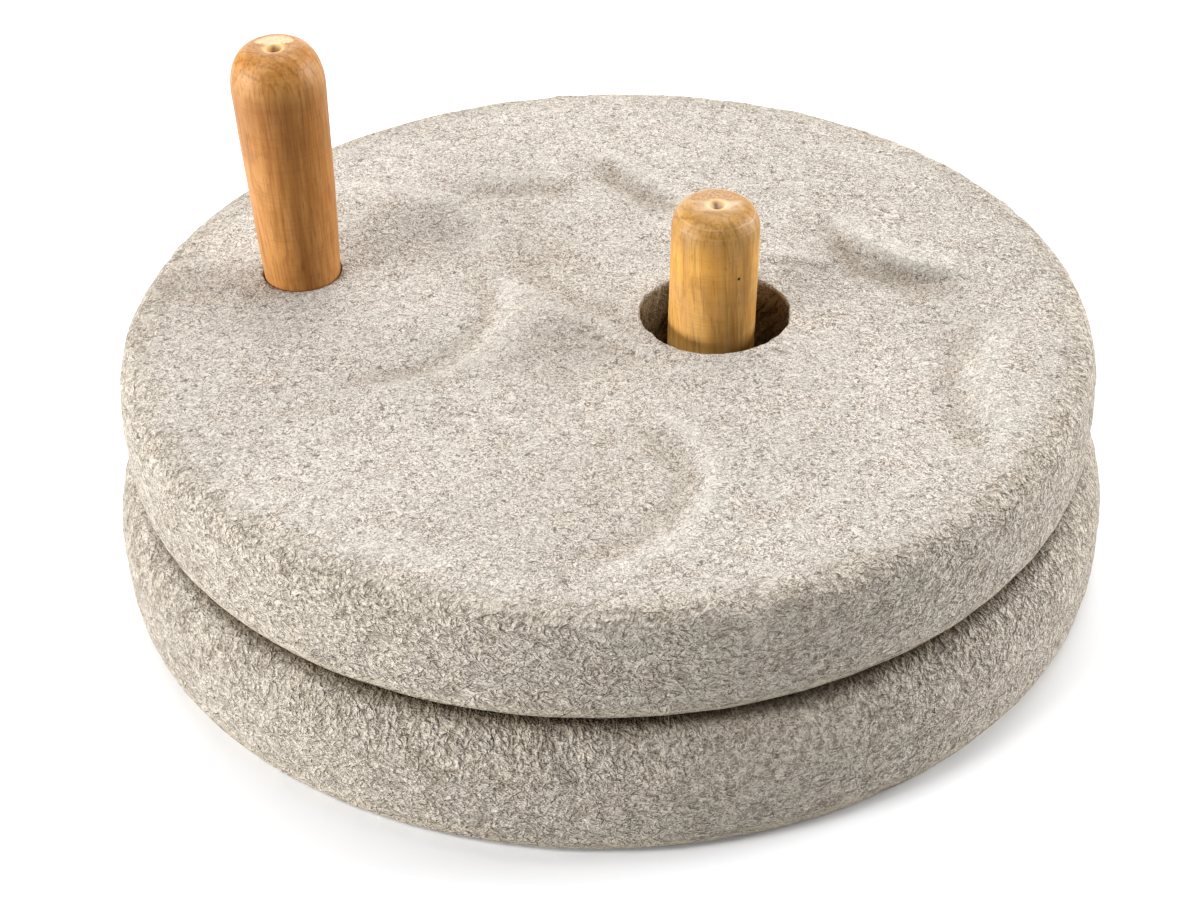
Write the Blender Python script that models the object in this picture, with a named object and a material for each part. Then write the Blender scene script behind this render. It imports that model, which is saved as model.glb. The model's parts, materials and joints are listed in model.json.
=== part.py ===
"""Rotary hand quern: two round pecked stones, a wooden axle peg and a wooden handle.

The bedstone lies still and holds the axle peg in a blind socket.  The runner stone lies on
it, has an off-centre eye that the peg stands up through, and turns about that peg by the
handle let into its top face.  The top face is carved with a whirl of shallow waves.

Metres, +Z up.  The origin is the centre of the bedstone's underside, and the eye lies
towards +X.
"""
import math
from collections import namedtuple

import bmesh
import bpy
import numpy as np
from mathutils import Matrix

# Play left between pieces that touch.
TOUCH_GAP = 0.0003

# Bedstone: a thick disc with a bulging, well rounded side.
BED_RADIUS = 0.150
BED_HEIGHT = 0.0392
BED_BELLY = 0.0192

# Runner stone, a little smaller and laid a touch off the bedstone's centre.
RUNNER_RADIUS = 0.1452
RUNNER_THICKNESS = 0.0355
RUNNER_BELLY = 0.0165
RUNNER_AXIS = (0.0, 0.002)
RUNNER_BOTTOM = BED_HEIGHT + TOUCH_GAP
RUNNER_TOP = RUNNER_BOTTOM + RUNNER_THICKNESS

# Eye of the runner, a straight hole right through it, which is also the feed hole.
EYE_CENTRE = (0.0326, 0.0010)
EYE_RADIUS = 0.0224

# Axle peg, a dowel that leans a little in its socket in the bedstone.
PEG_FOOT = (0.0305, 0.0)
PEG_RADIUS = 0.0130
PEG_REACH = 0.0732
PEG_LEAN = math.radians(2.0)
PEG_SOCKET_DEPTH = 0.020
PEG_CAP_RADIUS = 0.0075
PEG_SHOULDER = 0.0080

# Handle, a turned peg that swells towards its domed head.
HANDLE_FOOT = (-0.0929, 0.0310)
HANDLE_FOOT_RADIUS = 0.0117
HANDLE_HEAD_RADIUS = 0.0140
HANDLE_REACH = 0.0765
HANDLE_SOCKET_DEPTH = 0.022
HANDLE_CAP_RADIUS = 0.0068
HANDLE_SHOULDER = 0.0128
HANDLE_LEAN = math.radians(-0.9)

# Small dimple that the lathe's centre leaves in the end of both pegs.
DIMPLE_RADIUS = 0.0031
DIMPLE_DEPTH = 0.0016

# Faceting: vertices round the stones, the holes cut in them and the pegs, steps in a rounded
# corner, and the spacing of the rings across the carved face.  The rings have a quarter of
# the stone's vertices inside the first of these shares of the face, and half inside the next.
STONE_SEGMENTS = 80
HOLE_SEGMENTS = 40
PEG_SEGMENTS = 32
CORNER_STEPS = 6
TOP_RING_SPACING = 0.0047
QUARTER_SHARE = 0.18
HALF_SHARE = 0.42
SMOOTH_ANGLE = math.radians(35.0)

# Finishes: linear colour and roughness.
GRANITE = ((0.62, 0.56, 0.49), 0.9)
PALE_WOOD = ((0.60, 0.36, 0.14), 0.5)
WARM_WOOD = ((0.50, 0.23, 0.08), 0.5)

# One quarter of a stone's side: how far it draws in from the belly to the flat face, and
# the power of its superellipse, where 2 is an ellipse and more is squarer.
Corner = namedtuple("Corner", "inset power")
BED_UPPER = Corner(0.0162, 2.3)
BED_LOWER = Corner(0.0068, 3.8)
RUNNER_UPPER = Corner(0.0136, 4.2)
RUNNER_LOWER = Corner(0.0080, 2.9)

# The whirl carved in the runner's face, in millimetres.  A wave is a crest along a curve
# through its points.  On the left of the way it runs, the face drops from the crest over the
# wall to its depth and rises again over the run; on the right it falls away over the back.
# It grows over its first and last ends.  A swell is a low mound or dip, turned in degrees.
Wave = namedtuple("Wave", "points crest back wall depth run starts ends")
Swell = namedtuple("Swell", "centre length width turn height")
HANDLE_BOWL = Wave(((-37, 18), (-36, 34), (-35, 48), (-38, 60), (-47, 70), (-62, 77), (-84, 82),
                    (-106, 77), (-124, 62)), 1.1, 5, 20, 0.8, 25, 35, 25)
BOWL_FRONT = Wave(((-90, -38), (-74, -37), (-59, -34), (-44, -27), (-32, -12), (-27, 4),
                   (-29, 20), (-33, 36)), 0.2, 8, 9, 1.9, 8, 35, 25)
CREST_TO_EYE = Wave(((-40, 26), (-31, 18), (-21, 10), (-11, 1), (-2, -9), (6, -19)),
                    0.3, 14, 9, 0.9, 18, 20, 22)
FRONT_HOLLOW = Wave(((-22, -126), (-10, -124), (4, -119), (17, -109), (25, -96), (28, -80),
                     (25, -65), (17, -52), (6, -40)), 0.2, 8, 10, 2.1, 13, 35, 30)
RIGHT_BAND = Wave(((108, -92), (109, -72), (109, -56), (108, -38), (112, -24), (115, -10),
                   (114, 6)), 0.9, 16, 11, 1.9, 15, 35, 30)
BACK_RIGHT_CREST = Wave(((116, 19), (103, 20), (92, 24), (83, 34), (76, 46), (72, 60)),
                        1.5, 10, 6, 2.7, 22, 20, 35)
BACK_RIDGE = Wave(((32, 60), (22, 72), (16, 79), (11, 86), (6, 97), (4, 108)),
                  0.6, 14, 8, 2.0, 11, 16, 28)
BACK_DIP = Wave(((-4, 85), (-18, 87), (-30, 87), (-44, 92)), 0.1, 10, 14, 1.6, 6, 10, 20)
THIN_RIDGE = Wave(((-42, 62), (-34, 68), (-22, 70), (-12, 70)), 0.5, 4, 5, 0.1, 6, 8, 10)
EYE_GROOVE = Wave(((74, 27), (66, 29), (58, 31), (46, 33)), 0.6, 14, 3.5, 0.7, 3, 8, 8)
EYE_CREASE = Wave(((15, -24), (5, -14), (0, -6), (-5, 6)), 0.5, 14, 3, 0.5, 12, 8, 10)
WAVES = (HANDLE_BOWL, BOWL_FRONT, CREST_TO_EYE, FRONT_HOLLOW, RIGHT_BAND, BACK_RIGHT_CREST,
         BACK_RIDGE, BACK_DIP, THIN_RIDGE, EYE_GROOVE, EYE_CREASE)
SWELLS = (
    Swell((-28, -12), 30, 14, -82, 1.1),
    Swell((-58, -113), 50, 29, -54, 1.5),
    Swell((-56, 25), 25, 14, 17, -0.8),
    Swell((99, 28), 30, 14, -35, 1.2),
    Swell((-71, 65), 44, 33, -9, 1.0),
    Swell((2, -34), 33, 25, 16, -1.5),
    Swell((17, 85), 64, 37, -22, 1.2),
    Swell((79, -16), 41, 33, 13, -1.0),
    Swell((36, 2), 38, 34, 0, 0.9),
)
MILLIMETRE = 0.001
WAVE_STEP = 1.5
CARVED_REACH = 0.144
CARVED_FADE = 0.016


def smooth_step(value):
    """Ease from 0 to 1 as the value goes from 0 to 1, flat at both ends."""
    clipped = np.clip(value, 0.0, 1.0)
    return clipped * clipped * (3.0 - 2.0 * clipped)


def smooth_curve(points, step):
    """Places about one step apart on a smooth curve through the points.  Each piece is a
    cubic that leaves a point in the direction from the one before it to the one after."""
    points = np.asarray(points, float)
    points = np.concatenate([[2 * points[0] - points[1]], points, [2 * points[-1] - points[-2]]])
    pieces = []
    for before, first, last, after in zip(points, points[1:], points[2:], points[3:]):
        count = max(2, int(np.linalg.norm(last - first) / step))
        share = (np.arange(count) / count)[:, None]
        leave, arrive = 0.5 * (last - before), 0.5 * (after - first)
        pieces.append(first + leave * share
                      + (3.0 * (last - first) - 2.0 * leave - arrive) * share ** 2
                      + (2.0 * (first - last) + leave + arrive) * share ** 3)
    return np.concatenate([*pieces, points[-2:-1]])


def wave_height(wave, x, y):
    """Height of one carved wave, in millimetres.  Every place is measured from the nearest
    one on the crest: how far along the crest it is, and how far to the left of it.  The back
    and the floor are falling exponentials, the wall an eased step between them."""
    crest = smooth_curve(wave.points, WAVE_STEP)
    ahead = np.gradient(crest, axis=0)
    ahead /= np.linalg.norm(ahead, axis=1)[:, None]
    run = np.concatenate([[0.0], np.cumsum(np.linalg.norm(np.diff(crest, axis=0), axis=1))])
    places = np.stack([x.ravel(), y.ravel()], -1)
    nearest = np.argmin((crest ** 2).sum(1) - 2.0 * places @ crest.T, axis=1)
    gap = places - crest[nearest]
    way = ahead[nearest]
    left = (way[:, 0] * gap[:, 1] - way[:, 1] * gap[:, 0]).reshape(x.shape)
    along = (run[nearest] + (way * gap).sum(1)).reshape(x.shape)
    grown = smooth_step(along / wave.starts) * smooth_step((run[-1] - along) / wave.ends)
    back = wave.crest * np.exp(np.minimum(left, 0.0) / wave.back)
    wall = wave.crest - (wave.crest + wave.depth) * smooth_step(left / wave.wall)
    floor = -wave.depth * np.exp(-np.maximum(left - wave.wall, 0.0) / wave.run)
    return grown * np.where(left < 0.0, back, np.where(left < wave.wall, wall, floor))


def swell_height(swell, x, y):
    """Height of one low mound or dip, in millimetres: a bell over a turned ellipse."""
    turn = math.radians(swell.turn)
    across, up = x - swell.centre[0], y - swell.centre[1]
    long = (across * math.cos(turn) + up * math.sin(turn)) / swell.length
    wide = (up * math.cos(turn) - across * math.sin(turn)) / swell.width
    return swell.height * np.exp(-long ** 2 - wide ** 2)


def carved_height(x, y):
    """Height of the runner's carved face above its flat: the sum of the waves and the
    swells, faded at the rim."""
    across, up = x / MILLIMETRE, y / MILLIMETRE
    height = sum(wave_height(wave, across, up) for wave in WAVES)
    height = height + sum(swell_height(swell, across, up) for swell in SWELLS)
    reach = np.hypot(x - RUNNER_AXIS[0], y - RUNNER_AXIS[1])
    return MILLIMETRE * height * smooth_step((CARVED_REACH - reach) / CARVED_FADE)


def material(name, colour, roughness):
    """A plain Principled material of a linear colour."""
    made = bpy.data.materials.new(name)
    made.use_nodes = True
    shader = made.node_tree.nodes["Principled BSDF"]
    shader.inputs["Base Color"].default_value = (*colour, 1.0)
    shader.inputs["Roughness"].default_value = roughness
    shader.inputs["Metallic"].default_value = 0.0
    return made


def corner(widest, corner_shape, belly, flat):
    """Profile points (radius, height) from the belly to a flat face, along a quarter
    superellipse: cos and sin of an even angle, raised to 2 / power."""
    points = []
    for step in range(CORNER_STEPS + 1):
        angle = 0.5 * math.pi * step / CORNER_STEPS
        out = math.cos(angle) ** (2.0 / corner_shape.power) if step < CORNER_STEPS else 0.0
        up = math.sin(angle) ** (2.0 / corner_shape.power)
        radius = widest - corner_shape.inset * (1.0 - out)
        points.append((radius, belly + (flat - belly) * up))
    return points


def side_profile(radius, bottom, belly, top, upper, lower):
    """A stone's side from the edge of its top face down to the edge of its underside."""
    above = corner(radius, upper, belly, top)
    below = corner(radius, lower, belly, bottom)
    return above[::-1] + below[1:]


def peg_profile(length, foot_radius, head_radius, cap_radius, shoulder, straight):
    """A turned peg from the dimple in its head down to its foot: flat cap, quarter-round
    shoulder, tapering body down to the straight stretch that stands in the socket."""
    points = [(0.0, length - DIMPLE_DEPTH), (DIMPLE_RADIUS, length)]
    for step in range(CORNER_STEPS + 1):
        angle = 0.5 * math.pi * (1.0 - step / CORNER_STEPS)
        radius = cap_radius + (head_radius - cap_radius) * math.cos(angle)
        points.append((radius, length - shoulder * (1.0 - math.sin(angle))))
    points += [(foot_radius, straight), (foot_radius, 0.0), (0.0, 0.0)]
    return points


def add_ring(mesh, radius, height, count, centre=(0.0, 0.0)):
    """A ring of vertices, or a single one where the radius is nought."""
    if radius == 0.0:
        return [mesh.verts.new((centre[0], centre[1], height))]
    ring = []
    for step in range(count):
        angle = 2.0 * math.pi * step / count
        x = centre[0] + radius * math.cos(angle)
        y = centre[1] + radius * math.sin(angle)
        ring.append(mesh.verts.new((x, y, height)))
    return ring


def join_rings(mesh, upper, lower):
    """Faces between a ring and the next one down the profile.  Either may be a single
    vertex, and the lower ring may have twice as many vertices as the upper one."""
    count = max(len(upper), len(lower))
    for step in range(count):
        after = (step + 1) % count
        if len(upper) == 1:
            mesh.faces.new((upper[0], lower[step], lower[after]))
        elif len(lower) == 1:
            mesh.faces.new((upper[step], lower[0], upper[after]))
        elif len(upper) == len(lower):
            mesh.faces.new((upper[step], lower[step], lower[after], upper[after]))
        elif step % 2 == 0:
            half = step // 2
            middle = (half + 1) % len(upper)
            beyond = (step + 2) % count
            mesh.faces.new((upper[half], lower[step], lower[after]))
            mesh.faces.new((upper[half], lower[after], upper[middle]))
            mesh.faces.new((upper[middle], lower[after], lower[beyond]))


def finish_object(name, mesh, look):
    """Turn a bmesh into a scene object with its material, shaded smooth but for sharp edges."""
    data = bpy.data.meshes.new(name)
    bmesh.ops.recalc_face_normals(mesh, faces=mesh.faces)
    mesh.to_mesh(data)
    mesh.free()
    data.materials.append(look)
    data.shade_smooth()
    data.set_sharp_from_angle(angle=SMOOTH_ANGLE)
    made = bpy.data.objects.new(name, data)
    bpy.context.scene.collection.objects.link(made)
    return made


def turned_object(name, profile, count, look):
    """A body of revolution about its own Z axis, from a profile that runs top to bottom."""
    mesh = bmesh.new()
    rings = [add_ring(mesh, radius, height, count) for radius, height in profile]
    for upper, lower in zip(rings, rings[1:]):
        join_rings(mesh, upper, lower)
    return finish_object(name, mesh, look)


def cutter(name, radius, length, place):
    """A round cutter that rises from its own origin by its length, placed by a matrix."""
    mesh = bmesh.new()
    lift = Matrix.Translation((0.0, 0.0, length / 2.0))
    bmesh.ops.create_cone(mesh, cap_ends=True, segments=HOLE_SEGMENTS, radius1=radius,
                          radius2=radius, depth=length, matrix=lift)
    data = bpy.data.meshes.new(name)
    mesh.to_mesh(data)
    mesh.free()
    made = bpy.data.objects.new(name, data)
    made.matrix_world = place
    made.hide_render = True
    made.display_type = "WIRE"
    bpy.context.scene.collection.objects.link(made)
    return made


def cut(target, tool):
    """Cut the tool's solid out of the target with an exact Boolean."""
    boolean = target.modifiers.new(tool.name, "BOOLEAN")
    boolean.operation = "DIFFERENCE"
    boolean.solver = "EXACT"
    boolean.object = tool


def peg_placement(foot, face, lean, depth):
    """Where a peg's foot stands: at its socket's floor, leaning towards +X about the point
    where it leaves the stone's face."""
    return (Matrix.Translation((foot[0], foot[1], face)) @ Matrix.Rotation(lean, 4, "Y")
            @ Matrix.Translation((0.0, 0.0, -depth)))


def make_bedstone(look):
    """The lower stone: a turned disc with a blind socket for the axle peg."""
    profile = side_profile(BED_RADIUS, 0.0, BED_BELLY, BED_HEIGHT, BED_UPPER, BED_LOWER)
    profile = [(0.0, BED_HEIGHT)] + profile + [(0.0, 0.0)]
    stone = turned_object("bedstone", profile, STONE_SEGMENTS, look)
    place = peg_placement(PEG_FOOT, BED_HEIGHT, PEG_LEAN, PEG_SOCKET_DEPTH + TOUCH_GAP)
    cut(stone, cutter("axle_socket", PEG_RADIUS + TOUCH_GAP, 2.0 * PEG_SOCKET_DEPTH, place))
    return stone


def make_axle_peg(look):
    """The dowel that the runner turns about."""
    length = PEG_SOCKET_DEPTH + PEG_REACH
    profile = peg_profile(length, PEG_RADIUS, PEG_RADIUS, PEG_CAP_RADIUS, PEG_SHOULDER,
                          PEG_SOCKET_DEPTH)
    peg = turned_object("axle_peg", profile, PEG_SEGMENTS, look)
    peg.matrix_world = peg_placement(PEG_FOOT, BED_HEIGHT, PEG_LEAN, PEG_SOCKET_DEPTH)
    return peg


def top_face_rings(mesh, edge_radius):
    """Even rings across the runner's top face, from its middle out to the edge.  The number
    of vertices doubles twice on the way, so that the faces stay of one size."""
    steps = round(edge_radius / TOP_RING_SPACING)
    rings = []
    for step in range(steps):
        radius = edge_radius * step / steps
        count = STONE_SEGMENTS
        if radius < edge_radius * QUARTER_SHARE:
            count = STONE_SEGMENTS // 4
        elif radius < edge_radius * HALF_SHARE:
            count = STONE_SEGMENTS // 2
        rings.append(add_ring(mesh, radius, RUNNER_TOP, count, RUNNER_AXIS))
    return rings


def make_runner_stone(look):
    """The upper stone: carved top face, rounded side, flat underside, the eye cut through it
    and a blind socket for the handle."""
    side = side_profile(RUNNER_RADIUS, RUNNER_BOTTOM, RUNNER_BOTTOM + RUNNER_BELLY, RUNNER_TOP,
                        RUNNER_UPPER, RUNNER_LOWER)
    mesh = bmesh.new()
    rings = top_face_rings(mesh, side[0][0])
    for radius, height in side:
        rings.append(add_ring(mesh, radius, height, STONE_SEGMENTS, RUNNER_AXIS))
    rings.append(add_ring(mesh, 0.0, RUNNER_BOTTOM, 1, RUNNER_AXIS))
    for upper, lower in zip(rings, rings[1:]):
        join_rings(mesh, upper, lower)
    carved = [vertex for vertex in mesh.verts if vertex.co.z > RUNNER_BOTTOM + RUNNER_BELLY]
    places = np.array([vertex.co[:2] for vertex in carved])
    for vertex, height in zip(carved, carved_height(places[:, 0], places[:, 1])):
        vertex.co.z += float(height)
    stone = finish_object("runner_stone", mesh, look)
    through = RUNNER_THICKNESS * 2.0
    below = RUNNER_BOTTOM - RUNNER_THICKNESS / 2.0
    cut(stone, cutter("eye", EYE_RADIUS, through,
                      Matrix.Translation((EYE_CENTRE[0], EYE_CENTRE[1], below))))
    place = peg_placement(HANDLE_FOOT, RUNNER_TOP, HANDLE_LEAN, HANDLE_SOCKET_DEPTH + TOUCH_GAP)
    cut(stone, cutter("handle_socket", HANDLE_FOOT_RADIUS + TOUCH_GAP, 2.0 * HANDLE_SOCKET_DEPTH,
                      place))
    return stone


def make_handle(look):
    """The handle, whose foot stands on the floor of its socket."""
    length = HANDLE_SOCKET_DEPTH + HANDLE_REACH
    profile = peg_profile(length, HANDLE_FOOT_RADIUS, HANDLE_HEAD_RADIUS, HANDLE_CAP_RADIUS,
                          HANDLE_SHOULDER, HANDLE_SOCKET_DEPTH)
    handle = turned_object("handle", profile, PEG_SEGMENTS, look)
    handle.matrix_world = peg_placement(HANDLE_FOOT, RUNNER_TOP, HANDLE_LEAN,
                                        HANDLE_SOCKET_DEPTH)
    return handle


def ride_on_axis(pieces):
    """Parent the turning pieces to an empty on the axis that they turn about."""
    axis = bpy.data.objects.new("runner_axis", None)
    axis.location = (EYE_CENTRE[0], EYE_CENTRE[1], RUNNER_BOTTOM)
    bpy.context.scene.collection.objects.link(axis)
    bpy.context.view_layer.update()
    for piece in pieces:
        piece.parent = axis
        piece.matrix_parent_inverse = axis.matrix_world.inverted()


def build():
    """Clear the scene and make the quern."""
    for old in list(bpy.data.objects):
        bpy.data.objects.remove(old, do_unlink=True)
    granite = material("pecked_granite", *GRANITE)
    pale_wood = material("pale_turned_wood", *PALE_WOOD)
    warm_wood = material("warm_turned_wood", *WARM_WOOD)
    make_bedstone(granite)
    make_axle_peg(pale_wood)
    runner = make_runner_stone(granite)
    handle = make_handle(warm_wood)
    ride_on_axis([runner, handle])
    bpy.context.view_layer.update()


build()
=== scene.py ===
"""Rotary hand quern, dressed: pecked granite stones, a wooden axle dowel and a wooden handle.

Metres, +Z up, the origin under the middle of the lower stone, the eye towards +X.
"""
import itertools
import json
import math
from collections import namedtuple

import bpy
import numpy as np
from mathutils import Matrix, Vector


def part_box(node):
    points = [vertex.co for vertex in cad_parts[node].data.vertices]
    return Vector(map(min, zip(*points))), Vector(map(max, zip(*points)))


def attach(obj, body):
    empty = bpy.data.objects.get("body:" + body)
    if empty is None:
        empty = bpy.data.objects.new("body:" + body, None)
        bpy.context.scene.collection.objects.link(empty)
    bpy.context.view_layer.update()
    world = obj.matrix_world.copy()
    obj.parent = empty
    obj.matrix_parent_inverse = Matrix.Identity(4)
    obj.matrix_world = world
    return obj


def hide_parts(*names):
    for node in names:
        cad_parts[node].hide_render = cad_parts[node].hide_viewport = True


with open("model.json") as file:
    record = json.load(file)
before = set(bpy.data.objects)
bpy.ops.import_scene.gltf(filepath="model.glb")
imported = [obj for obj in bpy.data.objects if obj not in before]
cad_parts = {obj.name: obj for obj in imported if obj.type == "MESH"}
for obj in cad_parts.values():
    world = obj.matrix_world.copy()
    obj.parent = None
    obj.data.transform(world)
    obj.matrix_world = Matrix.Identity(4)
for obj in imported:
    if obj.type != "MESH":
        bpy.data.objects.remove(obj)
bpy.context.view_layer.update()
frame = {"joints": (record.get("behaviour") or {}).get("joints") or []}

# --------------------------------------------------
# Places and sizes.  The stones' outer measures and the eye's axis come from the frame.

BED_LOW, BED_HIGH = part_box("bedstone")
RUNNER_LOW, RUNNER_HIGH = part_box("runner_stone")

# A quarter of a stone's side: how far it draws in from the belly to the flat face, and the
# power of its superellipse.
Corner = namedtuple("Corner", "inset power")

# A stone: its upright axis; its radius, which its side reaches at the belly; the heights of
# its underside, belly and top; its side's corners above and below the belly; where its flat
# face ends, for the pick and for the colour, and over what width the pick's marks grow; and
# how high its streaked lower lip reaches, and over what height the streaks grow.
Stone = namedtuple("Stone", "axis radius bottom belly top upper lower pick_edge pick_growth "
                            "colour_edge lip lip_growth")
BED = Stone(axis=(0.0, 0.0), radius=0.5 * (BED_HIGH.x - BED_LOW.x),
            bottom=0.0, belly=0.0192, top=BED_HIGH.z,
            upper=Corner(0.0162, 2.3), lower=Corner(0.0068, 3.8),
            pick_edge=0.128, pick_growth=0.010, colour_edge=0.128,
            lip=0.0075, lip_growth=0.004)
RUNNER = Stone(axis=(0.0, 0.5 * (RUNNER_HIGH.y + RUNNER_LOW.y)),
               radius=0.5 * (RUNNER_HIGH.x - RUNNER_LOW.x),
               bottom=RUNNER_LOW.z, belly=RUNNER_LOW.z + 0.0165, top=RUNNER_LOW.z + 0.0355,
               upper=Corner(0.0136, 4.2), lower=Corner(0.0080, 2.9),
               pick_edge=0.122, pick_growth=0.014, colour_edge=0.126,
               lip=0.0085, lip_growth=0.005)

# The runner's eye, on the hinge's axis: its radius, the rounding of its mouth, how the tool's
# marks wind up its wall, in radians a metre, and the share of the height that counts in the
# marks and in their colour, which draws them out upwards.
EYE_CENTRE = np.array(frame["joints"][0]["pos_m"][:2])
EYE_RADIUS = 0.0224
MOUTH_ROUNDING = 0.0006
EYE_TWIST = 30.0
EYE_MARK_RISE = 0.12
EYE_COLOUR_RISE = 0.5

# A turned peg: where its axis meets its stone's face, and its lean towards +X; how deep it
# stands in its socket, how far it reaches out, and the room round it; its radius at the foot,
# at the head and of its flat end; the height of the rounded shoulder, and how much its body
# swells; and the seed of its unevenness.  Then what shows on it: the place of the lathe's
# dimple; the dark streak's compass direction, spread and strength, the streak partly the
# wood's own and partly painted shade on the side the lights reach least; the slanting cut's
# radius, start and bow; and the half width, half depth and middle of the bare wood.
Peg = namedtuple("Peg", "foot face lean depth reach gap foot_radius head_radius end_radius "
                        "shoulder swell seed dimple heart cut bare")
DOWEL = Peg(foot=(0.0305, 0.0), face=BED.top, lean=math.radians(2.0),
            depth=0.020, reach=0.0732, gap=0.0003,
            foot_radius=0.0130, head_radius=0.0130, end_radius=0.0075,
            shoulder=0.0080, swell=0.0, seed=51,
            dimple=(0.0, -0.0008), heart=(-52.0, 15.0, 0.70), cut=(0.0072, 0.0020, 30.0),
            bare=(0.0070, 0.0026, -0.0010))
HANDLE = Peg(foot=(-0.0929, 0.0310), face=RUNNER.top, lean=math.radians(-0.9),
             depth=0.022, reach=0.0765, gap=0.0004,
             foot_radius=0.0117, head_radius=0.0140, end_radius=0.0068,
             shoulder=0.0128, swell=0.0002, seed=61,
             dimple=(0.0003, -0.0019), heart=(-77.0, 26.0, 0.46), cut=(0.0068, 0.0008, 50.0),
             bare=None)

# What stays flat under the runner: all this little above its underside and this far inside
# its side.  The bedstone's side grows plain over FOOT_FADE above the floor.
FLAT_HEIGHT = 0.0004
FLAT_INSET = 0.006
FOOT_FADE = 0.002

# The tool that cuts a peg's socket: how far it stands out of the face, how deep its mouth
# starts to widen and by how much, and how far below the peg's foot it ends.
SOCKET_OVER = 0.004
SOCKET_MOUTH = 0.0012
SOCKET_FLARE = 0.0006
SOCKET_FLOOR = 0.0003

# The dimple's half section on a peg's flat end, from its bottom to its raised ring: radius
# and height above the end.  What lies within SHIFTED_REACH of the axis follows the dimple off
# centre, more and more over SHIFTED_FADE.
DIMPLE = ((0.0004, -0.0020), (0.0010, -0.0012), (0.0016, -0.0008), (0.0022, -0.0005),
          (0.0026, 0.0), (0.0029, 0.0001), (0.0034, 0.0))
DIMPLE_DEPTH = 0.0022
SHIFTED_REACH = 0.0070
SHIFTED_FADE = 0.0036

# The whirl carved in the runner's face, in millimetres.  A wave is a crest along a curve
# through its points.  On the left of the way it runs, the face drops from the crest over the
# wall to its depth and rises again over the run; on the right it falls away over the back.
# It grows over its first and last ends.  A swell is a low mound or dip, turned in degrees.
Wave = namedtuple("Wave", "points crest back wall depth run starts ends")
Swell = namedtuple("Swell", "centre length width turn height")
HANDLE_BOWL = Wave(((-37, 18), (-36, 34), (-35, 48), (-38, 60), (-47, 70), (-62, 77),
                    (-84, 82), (-106, 77), (-124, 62)), 1.1, 5, 20, 0.8, 25, 35, 25)
BOWL_FRONT = Wave(((-90, -38), (-74, -37), (-59, -34), (-44, -27), (-32, -12), (-27, 4),
                   (-29, 20), (-33, 36)), 0.2, 8, 9, 1.9, 8, 35, 25)
CREST_TO_EYE = Wave(((-40, 26), (-31, 18), (-21, 10), (-11, 1), (-2, -9), (6, -19)),
                    0.3, 14, 9, 0.9, 18, 20, 22)
FRONT_HOLLOW = Wave(((-22, -126), (-10, -124), (4, -119), (17, -109), (25, -96), (28, -80),
                     (25, -65), (17, -52), (6, -40)), 0.2, 8, 10, 2.1, 13, 35, 30)
RIGHT_BAND = Wave(((108, -92), (109, -72), (109, -56), (108, -38), (112, -24), (115, -10),
                   (114, 6)), 0.9, 16, 11, 1.9, 15, 35, 30)
BACK_RIGHT_CREST = Wave(((116, 19), (103, 20), (92, 24), (83, 34), (76, 46), (72, 60)),
                        1.5, 10, 6, 2.7, 22, 20, 35)
BACK_RIDGE = Wave(((32, 60), (22, 72), (16, 79), (11, 86), (6, 97), (4, 108)),
                  0.6, 14, 8, 2.0, 11, 16, 28)
BACK_DIP = Wave(((-4, 85), (-18, 87), (-30, 87), (-44, 92)), 0.1, 10, 14, 1.6, 6, 10, 20)
THIN_RIDGE = Wave(((-42, 62), (-34, 68), (-22, 70), (-12, 70)), 0.5, 4, 5, 0.1, 6, 8, 10)
EYE_GROOVE = Wave(((74, 27), (66, 29), (58, 31), (46, 33)), 0.6, 14, 3.5, 0.7, 3, 8, 8)
EYE_CREASE = Wave(((15, -24), (5, -14), (0, -6), (-5, 6)), 0.5, 14, 3, 0.5, 12, 8, 10)
WAVES = (HANDLE_BOWL, BOWL_FRONT, CREST_TO_EYE, FRONT_HOLLOW, RIGHT_BAND, BACK_RIGHT_CREST,
         BACK_RIDGE, BACK_DIP, THIN_RIDGE, EYE_GROOVE, EYE_CREASE)
SWELLS = (
    Swell((-28, -12), 30, 14, -82, 1.1),
    Swell((-58, -113), 50, 29, -54, 1.5),
    Swell((-56, 25), 25, 14, 17, -0.8),
    Swell((99, 28), 30, 14, -35, 1.2),
    Swell((-71, 65), 44, 33, -9, 1.0),
    Swell((2, -34), 33, 25, 16, -1.5),
    Swell((17, 85), 64, 37, -22, 1.2),
    Swell((79, -16), 41, 33, 13, -1.0),
    Swell((36, 2), 38, 34, 0, 0.9),
)

# The carving's unit, where it fades out before the rim, and the steps along a wave's crest.
MILLIMETRE = 0.001
CARVED_REACH = 0.144
CARVED_FADE = 0.016
WAVE_STEP = 1.5

# How a sharp bend is told: how far off four places round a point are, and how far the point
# then stands above or below their mean where the bend is a full one.
SHARP_BENDS = ((0.0040, 0.00060), (0.0120, 0.00120))

# The pick's marks, as random fields: the spacing of a field's bumps, its seed, and its height
# on the flat faces and on the rims.  The last field makes pits, where it is over PIT_EDGE.
Peck = namedtuple("Peck", "spacing seed on_face on_rim")
PECKS = (Peck(0.0450, 11, 0.00016, 0.00024), Peck(0.0085, 12, 0.00008, 0.00026),
         Peck(0.0042, 13, 0.00008, 0.00024), Peck((0.0080, 0.0080, 0.0026), 14, 0.0, 0.00024),
         Peck(0.0046, 15, -0.00030, -0.00080))
PIT_EDGE = 0.28

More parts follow.
